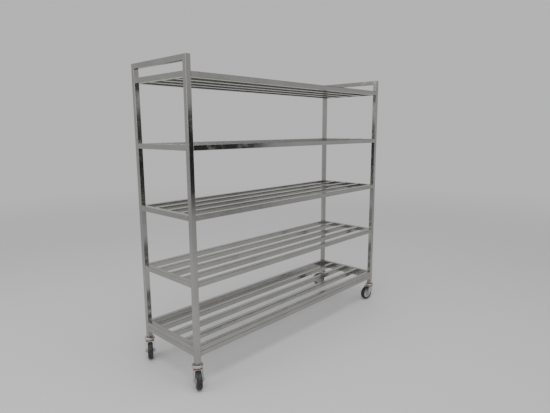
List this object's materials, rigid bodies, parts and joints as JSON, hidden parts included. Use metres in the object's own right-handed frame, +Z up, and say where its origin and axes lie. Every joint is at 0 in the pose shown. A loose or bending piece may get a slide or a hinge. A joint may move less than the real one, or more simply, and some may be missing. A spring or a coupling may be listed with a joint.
{
  "type": "sheet pan rack",
  "caption": "Mobile bakery rack of polished square tube: open slatted shelves between inverted-U end frames, on swivel casters.",
  "frame": {"origin": "on the floor, under the middle of the tube frame; the box's centre is within 13 mm of it, because the casters trail to one side", "axes": "+X along the shelves towards the right-hand end as seen from the front, +Y from the front to the rear, +Z up"},
  "size_m": [1.886, 0.6456, 1.784],
  "materials": {
    "polished_stainless": "polished stainless tube with a faint drawn grain",
    "pressed_steel": "bright zinc-plated pressing",
    "axle_steel": "bright zinc",
    "dust_seal": "matte red-brown moulded ring",
    "wheel_centre": "light grey moulded plastic",
    "tyre": "black rubber, slightly worn tread"
  },
  "bodies": {
    "frame": {"post_front_left": "polished_stainless", "post_front_right": "polished_stainless", "post_rear_left": "polished_stainless", "post_rear_right": "polished_stainless", "handle_left": "polished_stainless", "handle_right": "polished_stainless", "base_rail_front": "polished_stainless", "base_rail_rear": "polished_stainless", "base_rail_left": "polished_stainless", "base_rail_right": "polished_stainless", "shelf_1_rail_front": "polished_stainless", "shelf_1_rail_rear": "polished_stainless", "shelf_1_rail_left": "polished_stainless", "shelf_1_rail_right": "polished_stainless", "shelf_1_slats": "polished_stainless", "shelf_2_rail_front": "polished_stainless", "shelf_2_rail_rear": "polished_stainless", "shelf_2_rail_left": "polished_stainless", "shelf_2_rail_right": "polished_stainless", "shelf_2_slats": "polished_stainless", "shelf_3_rail_front": "polished_stainless", "shelf_3_rail_rear": "polished_stainless", "shelf_3_rail_left": "polished_stainless", "shelf_3_rail_right": "polished_stainless", "shelf_3_slats": "polished_stainless", "shelf_4_rail_front": "polished_stainless", "shelf_4_rail_rear": "polished_stainless", "shelf_4_rail_left": "polished_stainless", "shelf_4_rail_right": "polished_stainless", "shelf_4_slats": "polished_stainless", "shelf_5_rail_front": "polished_stainless", "shelf_5_rail_rear": "polished_stainless", "shelf_5_rail_left": "polished_stainless", "shelf_5_rail_right": "polished_stainless", "shelf_5_slats": "polished_stainless", "leg_plugs": "pressed_steel", "caster_front_left_stem": "pressed_steel", "caster_front_left_seal": "dust_seal", "caster_front_right_stem": "pressed_steel", "caster_front_right_seal": "dust_seal", "caster_rear_left_stem": "pressed_steel", "caster_rear_left_seal": "dust_seal", "caster_rear_right_stem": "pressed_steel", "caster_rear_right_seal": "dust_seal"},
    "caster_front_left_swivel": {"caster_front_left_fork": "pressed_steel", "caster_front_left_axle": "axle_steel"},
    "caster_front_left_wheel": {"caster_front_left_hub": "wheel_centre", "caster_front_left_tyre": "tyre"},
    "caster_front_right_swivel": {"caster_front_right_fork": "pressed_steel", "caster_front_right_axle": "axle_steel"},
    "caster_front_right_wheel": {"caster_front_right_hub": "wheel_centre", "caster_front_right_tyre": "tyre"},
    "caster_rear_left_swivel": {"caster_rear_left_fork": "pressed_steel", "caster_rear_left_axle": "axle_steel"},
    "caster_rear_left_wheel": {"caster_rear_left_hub": "wheel_centre", "caster_rear_left_tyre": "tyre"},
    "caster_rear_right_swivel": {"caster_rear_right_fork": "pressed_steel", "caster_rear_right_axle": "axle_steel"},
    "caster_rear_right_wheel": {"caster_rear_right_hub": "wheel_centre", "caster_rear_right_tyre": "tyre"}
  },
  "joints": [
    {"name": "caster_front_left_turn", "type": "hinge", "parent": "frame", "child": "caster_front_left_swivel", "pos_m": [-0.8995, -0.2475, 0.107], "axis": [0, 0, 1], "continuous": true},
    {"name": "caster_front_left_roll", "type": "hinge", "parent": "caster_front_left_swivel", "child": "caster_front_left_wheel", "pos_m": [-0.9175, -0.27868, 0.05], "axis": [0.866, -0.5, 0], "continuous": true},
    {"name": "caster_front_right_turn", "type": "hinge", "parent": "frame", "child": "caster_front_right_swivel", "pos_m": [0.8995, -0.2475, 0.107], "axis": [0, 0, 1], "continuous": true},
    {"name": "caster_front_right_roll", "type": "hinge", "parent": "caster_front_right_swivel", "child": "caster_front_right_wheel", "pos_m": [0.86405, -0.24125, 0.05], "axis": [-0.1736, -0.9848, 0], "continuous": true},
    {"name": "caster_rear_left_turn", "type": "hinge", "parent": "frame", "child": "caster_rear_left_swivel", "pos_m": [-0.8995, 0.2475, 0.107], "axis": [0, 0, 1], "continuous": true},
    {"name": "caster_rear_left_roll", "type": "hinge", "parent": "caster_rear_left_swivel", "child": "caster_rear_left_wheel", "pos_m": [-0.9175, 0.21632, 0.05], "axis": [0.866, -0.5, 0], "continuous": true},
    {"name": "caster_rear_right_turn", "type": "hinge", "parent": "frame", "child": "caster_rear_right_swivel", "pos_m": [0.8995, 0.2475, 0.107], "axis": [0, 0, 1], "continuous": true},
    {"name": "caster_rear_right_roll", "type": "hinge", "parent": "caster_rear_right_swivel", "child": "caster_rear_right_wheel", "pos_m": [0.87404, 0.27296, 0.05], "axis": [-0.7071, -0.7071, 0], "continuous": true}
  ]
}
